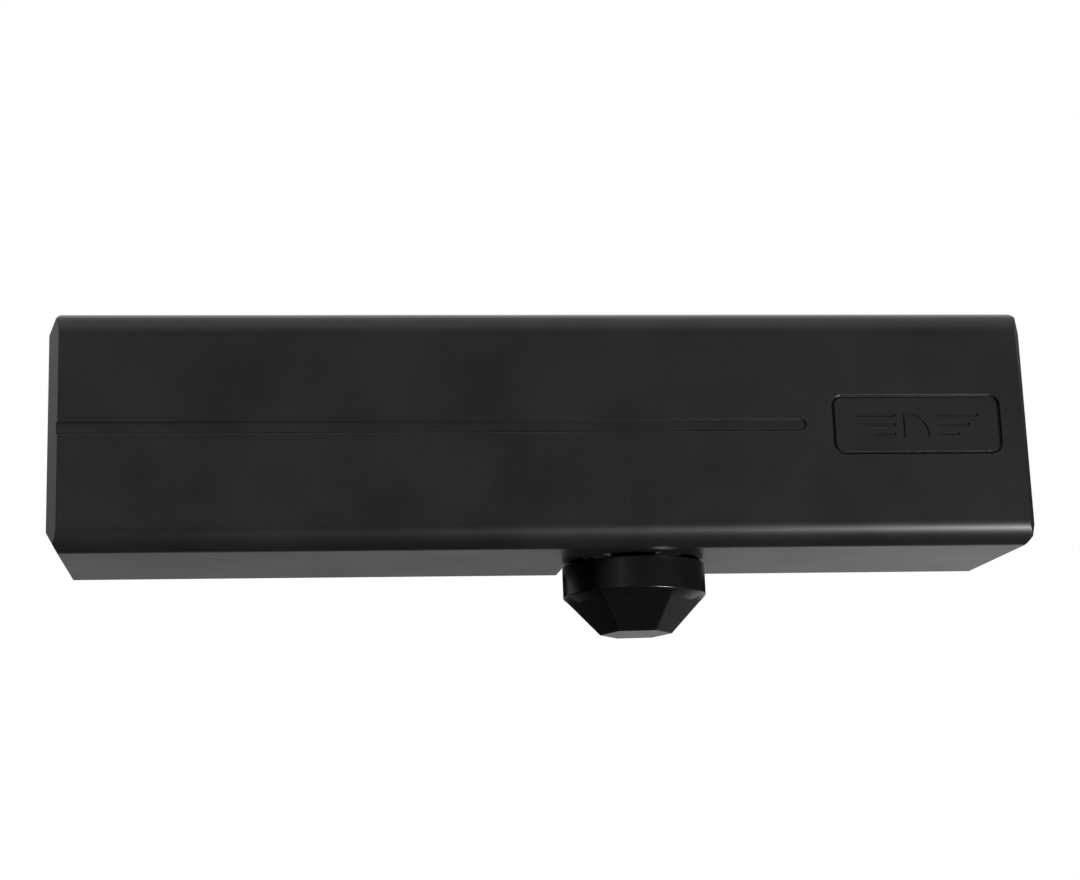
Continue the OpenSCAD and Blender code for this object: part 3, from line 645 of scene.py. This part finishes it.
def make_cap():
    centre = Vector((SPINDLE.x, SPINDLE.y, cap_high.z))
    skirt_z, cuts = cap_high.z - CAP_SKIRT, SIDE_POINTS - 1
    blend_z = skirt_z - CAP_BLEND
    blend_r = CAP_R - (CAP_R - CAP_FOOT_R) * CAP_BLEND / (skirt_z - cap_low.z)
    rings = [ring_of_points("cap_faceted", CAP_FACETS * SIDE_POINTS, 0, CAP_R, skirt_z),
             ring_of_points("cap_blend", CAP_FACETS, cuts, blend_r, blend_z),
             ring_of_points("cap_foot", CAP_FACETS, cuts, CAP_FOOT_R, cap_low.z)]
    for ring in rings:
        ring.select_set(True)
    piece = bpy.context.view_layer.objects.active = rings[0]
    bpy.ops.object.join()

    def between(low, high):
        return lambda e: all(low - NEARLY < v.co.z < high + NEARLY for v in e.verts)

    with editing(piece, "EDGE"):
        for low, high in ((blend_z, skirt_z), (cap_low.z, blend_z)):
            pick(piece, between(low, high), "edges")
            bpy.ops.mesh.bridge_edge_loops()
        pick(piece, between(cap_low.z, cap_low.z), "edges")
        bpy.ops.mesh.edge_face_add()
        pick(piece, between(skirt_z, skirt_z), "edges")
        bpy.ops.mesh.extrude_region_move(TRANSFORM_OT_translate={"value": (0, 0, CAP_SKIRT)})
        pick(piece, between(cap_high.z, cap_high.z), "edges")
        bpy.ops.mesh.edge_face_add()
        bpy.ops.mesh.select_all(action="SELECT")
        bpy.ops.mesh.normals_make_consistent(inside=False)
        bpy.ops.mesh.dissolve_limited(angle_limit=math.radians(0.5))
    with editing(piece):
        pick(piece, lambda f: f.normal.z > 0.99)
        bpy.ops.mesh.inset(thickness=CAP_WALL)
        bpy.ops.mesh.inset(thickness=CAP_R - CAP_WALL - HUB_R)
        pick(piece, lambda f: f.normal.z > 0.99 and in_ring(f, centre))
        bpy.ops.mesh.extrude_region_move(
            TRANSFORM_OT_translate={"value": (0, 0, CAP_WALL - CAP_SKIRT)})
    return piece


def in_ring(face, centre):
    """True for the ring of faces between the cap's rim and its hub."""
    distance = (middle(face).xy - centre.xy).length
    return HUB_R < distance < CAP_R - CAP_WALL


def square_cutter():
    half = SQUARE / 2
    piece = block("square_cutter", (SPINDLE.x - half, SPINDLE.y - half, cap_high.z - SOCKET_D),
                  (SPINDLE.x + half, SPINDLE.y + half, cap_high.z + PAST))
    with editing(piece):
        bpy.ops.mesh.select_all(action="SELECT")
        bpy.ops.transform.rotate(value=-CAP_TURN, orient_axis="Z", center_override=SPINDLE)
    return piece


cap = make_cap()
cut(cap, square_cutter())
round_edges(cap, 0.25 * MM, sharper_than=26)
wear(cap, "cap_satin_black")
hand_over(cap, "spindle", "satin_black_cap", "spindle_cap")

# %% [markdown]
# ## The springs
# A compression spring is one wire on a helix whose last turns lie closed against each other, and
# whose ends are ground flat. A screw modifier would give an even pitch only, so the wire is a
# curve through points that a formula gives, with a round section, made into a mesh.
# The closing spring shortens as the piston moves, but its coil is made once, at the
# length of its CAD piece.

# %% Spring wire
CLOSED_TURNS = 1.25


def height_at(turn, turns, span, closed_pitch):
    """How far along its axis the wire is after some turns."""
    closed = CLOSED_TURNS * closed_pitch
    if turn < CLOSED_TURNS:
        return turn * closed_pitch
    if turn > turns - CLOSED_TURNS:
        return span - (turns - turn) * closed_pitch
    return closed + (turn - CLOSED_TURNS) * (span - 2 * closed) / (turns - 2 * CLOSED_TURNS)


def make_spring(name, node, turns, wire_r, sides, steps):
    low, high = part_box(node)
    axis_y, axis_z = (low.y + high.y) / 2, (low.z + high.z) / 2
    coil_r = (high.y - low.y) / 2 - wire_r
    span = high.x - low.x - 2 * wire_r
    curve = bpy.data.curves.new(name, "CURVE")
    curve.dimensions = "3D"
    curve.bevel_depth = wire_r
    curve.bevel_resolution = sides // 4 - 1
    curve.use_fill_caps = True
    wire = curve.splines.new("POLY")
    count = int(turns * steps)
    wire.points.add(count)
    for k, point in enumerate(wire.points):
        turn = k / steps
        angle = 2 * math.pi * turn
        x = low.x + wire_r + height_at(turn, turns, span, 2.04 * wire_r)
        point.co = (x, axis_y + coil_r * math.sin(angle), axis_z + coil_r * math.cos(angle), 1)
    piece = bpy.data.objects.new(name, curve)
    bpy.context.scene.collection.objects.link(piece)
    select_only(piece)
    bpy.ops.object.convert(target="MESH")
    piece = bpy.context.object
    piece.name = piece.data.name = name
    with editing(piece):
        bpy.ops.mesh.select_all(action="SELECT")
        bpy.ops.mesh.remove_doubles(threshold=0.001 * MM)
    bpy.ops.object.shade_smooth_by_angle(angle=math.radians(50))
    wear(piece, "spring_oiled_steel")
    return piece, low, high


closing, low, high = make_spring("closing_spring_coil", "closing_spring", 12, 1.9 * MM, 16, 36)
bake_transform(closing)
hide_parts("closing_spring")
report(closing)

# %% Valve springs
check, low, high = make_spring("check_spring_coil", "check_spring", 6, 0.25 * MM, 12, 24)
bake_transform(check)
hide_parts("check_spring")
report(check)

relief, low, high = make_spring("relief_spring_coil", "relief_spring", 5, 0.35 * MM, 12, 24)
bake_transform(relief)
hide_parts("relief_spring")
report(relief)

# %% [markdown]
# ## The metal and nylon pieces inside
# These have the right shape already, but every edge of the CAD mesh is perfectly sharp, and a real
# edge never is. A copy of each is welded, its flat faces are made whole again, and a small radius
# goes on its sharp edges. The copy stands in for the CAD piece, which is left alone.

# %% Soft-edged copies
def soft_copy(node, width, segments=2, sharper_than=40):
    source = frame["nodes"][node]
    piece = source.copy()
    piece.data = source.data.copy()
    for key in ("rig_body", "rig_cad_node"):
        del piece[key]
    piece.parent = None
    bpy.context.scene.collection.objects.link(piece)
    piece.name = piece.data.name = node + "_piece"
    with editing(piece):
        bpy.ops.mesh.select_all(action="SELECT")
        bpy.ops.mesh.remove_doubles(threshold=0.0005 * MM)
        bpy.ops.mesh.customdata_custom_splitnormals_clear()
        bpy.ops.mesh.dissolve_limited(angle_limit=math.radians(0.6))
    round_edges(piece, width, sharper_than, segments)
    return piece


body_of = {n: body for body, nodes in frame["record"]["behaviour"]["bodies"].items() for n in nodes}
slot_of = {part["node"]: part["material_slot"] for part in frame["record"]["subparts"]}

SOFT = {
    "housing": ("housing_black_coat", 0.25),
    "pinion_spindle": ("spindle_black_oxide", 0.15),
    "rack_piston": ("piston_ground_iron", 0.15),
    "left_end_plug": ("plug_turned_steel", 0.2),
    "right_end_plug": ("plug_turned_steel", 0.2),
    "upper_gland": ("gland_phosphated_steel", 0.15),
    "lower_gland": ("gland_phosphated_steel", 0.15),
    "left_cover_clip": ("clip_grey_nylon", 0.3),
    "right_cover_clip": ("clip_grey_nylon", 0.3),
    "clip_screws": ("screw_zinc", 0.12),
    "spring_seat": ("seat_pressed_steel", 0.2),
    "closing_valve": ("valve_brass", 0.1),
    "latching_valve": ("valve_brass", 0.1),
    "backcheck_valve": ("valve_brass", 0.1),
    "check_retainer": ("retainer_turned_brass", 0.1),
    "relief_retainer": ("retainer_turned_brass", 0.1),
    "passage_plug": ("plug_turned_steel", 0.1),
    "upper_bearing_cup": ("bearing_polished_steel", 0.1),
    "lower_bearing_cup": ("bearing_polished_steel", 0.1),
    "upper_needles": ("bearing_polished_steel", 0.1),
    "lower_needles": ("bearing_polished_steel", 0.1),
    "piston_seal": ("seal_filled_ptfe", 0.15),
    "upper_shaft_seal": ("seal_brown_rubber", 0.2),
    "lower_shaft_seal": ("seal_brown_rubber", 0.2),
}
for node, (look, width) in SOFT.items():
    piece = soft_copy(node, width * MM)
    wear(piece, look)
    hand_over(piece, body_of[node], slot_of[node], node)

# %% [markdown]
# The balls and the rubber rings have no edge to soften, so their CAD pieces are shown as they are
# and only get their finish.

# %% Balls and rings
KEPT = {
    "check_ball": "ball_polished_steel", "relief_ball": "ball_polished_steel",
    "left_plug_seal": "seal_black_rubber", "right_plug_seal": "seal_black_rubber",
    "upper_gland_seal": "seal_black_rubber", "lower_gland_seal": "seal_black_rubber",
    "closing_valve_seal": "seal_black_rubber", "latching_valve_seal": "seal_black_rubber",
    "backcheck_valve_seal": "seal_black_rubber",
}
for node, look in KEPT.items():
    for place in frame["nodes"][node].material_slots:
        place.material = finishes[look]
print("CAD pieces shown as they are:", len(KEPT))

# %% [markdown]
# ## Floor and light
# A black satin surface shows mostly what it reflects, so the light is a pale room with a bright
# back and a grey front, and one soft panel where a highlight is wanted. The floor is pale and
# plain, and lies well below. It shows to the camera only: the closer neither mirrors it nor is
# lit by it. In the same way the camera sees a white room, and the closer sees the patches below.

# %% Floor
FLOOR_Z = -0.8


def add_floor():
    bpy.ops.object.select_all(action="DESELECT")
    bpy.ops.mesh.primitive_plane_add(size=16, location=(0, 0, FLOOR_Z))
    floor = bpy.context.object
    floor.name = floor.data.name = "floor"
    bpy.ops.object.transform_apply(location=True, rotation=True, scale=True)
    net, where, surface = finish("floor_pale")
    colour = net.mix(net.noise(where, 3.0), (0.80, 0.80, 0.79), (0.84, 0.84, 0.83))
    paint(net, surface, colour, net.noise(where, 40) * 0.1 + 0.6, net.noise(where, 300), 0.0001)
    wear(floor, "floor_pale")
    floor.visible_glossy = False
    floor.visible_diffuse = False


add_floor()

# %% Room light
# Each line is one patch of the room: where it starts and ends along X, Y and Z, and how bright it is.
def light_room():
    world = bpy.data.worlds.new("room")
    bpy.context.scene.world = world
    world.use_nodes = True
    net = Net(world.node_tree)
    where = net.node("ShaderNodeTexCoord", out="Generated")
    parts = net.tree.nodes.new("ShaderNodeSeparateXYZ")
    net.tree.links.new(where.socket, parts.inputs[0])
    x, y, z = (Signal(net, output) for output in parts.outputs)
    above = net.step(z, -0.12, 0.04)
    side = net.step(x, 0.1, 0.45, 0.41, 0.85) * net.step(x, 0.5, 0.75, 1.0, 0.35)
    side = side * net.step(x, -0.7, -0.35, 0.3, 1.0)
    back_high = net.step(y, 0.1, 0.8) * net.step(z, 0.2, 0.42)
    back_left = net.step(y, 0.1, 0.4) * above * net.step(x, -0.45, -0.7) * 0.5
    back_low = net.step(y, 0.3, 0.8) * (1 - above) * net.step(z, -0.46, -0.3) * side
    below = (1 - net.step(z, -0.46, -0.3)) * net.step(x, 0.1, 0.6, 0.012, 0.085)
    high = net.step(z, 0.25, 0.85) * 0.75
    front_high = net.step(y, -0.2, -0.8) * net.step(z, -0.02, 0.14) * net.step(x, -0.4, 0.2, 0.31, 0.10)
    window = net.step(x, -0.60, -0.50) * net.step(x, -0.38, -0.48)
    window = window * net.step(y, 0.0, -0.3) * net.step(z, -0.7, -0.4) * 0.5
    light = back_high + back_left + back_low + below + high + front_high + window + 0.006
    seen = net.node("ShaderNodeLightPath", out="Is Camera Ray")
    strength = light * (1 - seen) + seen
    room = net.node("ShaderNodeBackground", None, {"Color": (1, 1, 1, 1), "Strength": strength})
    output = net.tree.nodes.new("ShaderNodeOutputWorld")
    net.tree.links.new(room.socket, output.inputs["Surface"])


light_room()


# %% Light panels
def panel(name, at, aim, width, height, power):
    data = bpy.data.lights.new(name, "AREA")
    data.shape = "RECTANGLE"
    data.size, data.size_y, data.energy = width, height, power
    lamp = bpy.data.objects.new(name, data)
    bpy.context.scene.collection.objects.link(lamp)
    lamp.location = at
    lamp.rotation_euler = (Vector(aim) - Vector(at)).to_track_quat("-Z", "Y").to_euler()


middle_of_cover = (cover_low + cover_high) / 2
panel("low_right_panel", (0.94, -1.05, -0.80), middle_of_cover, 0.46, 0.17, 66.0)
bpy.context.scene.view_settings.view_transform = "Standard"
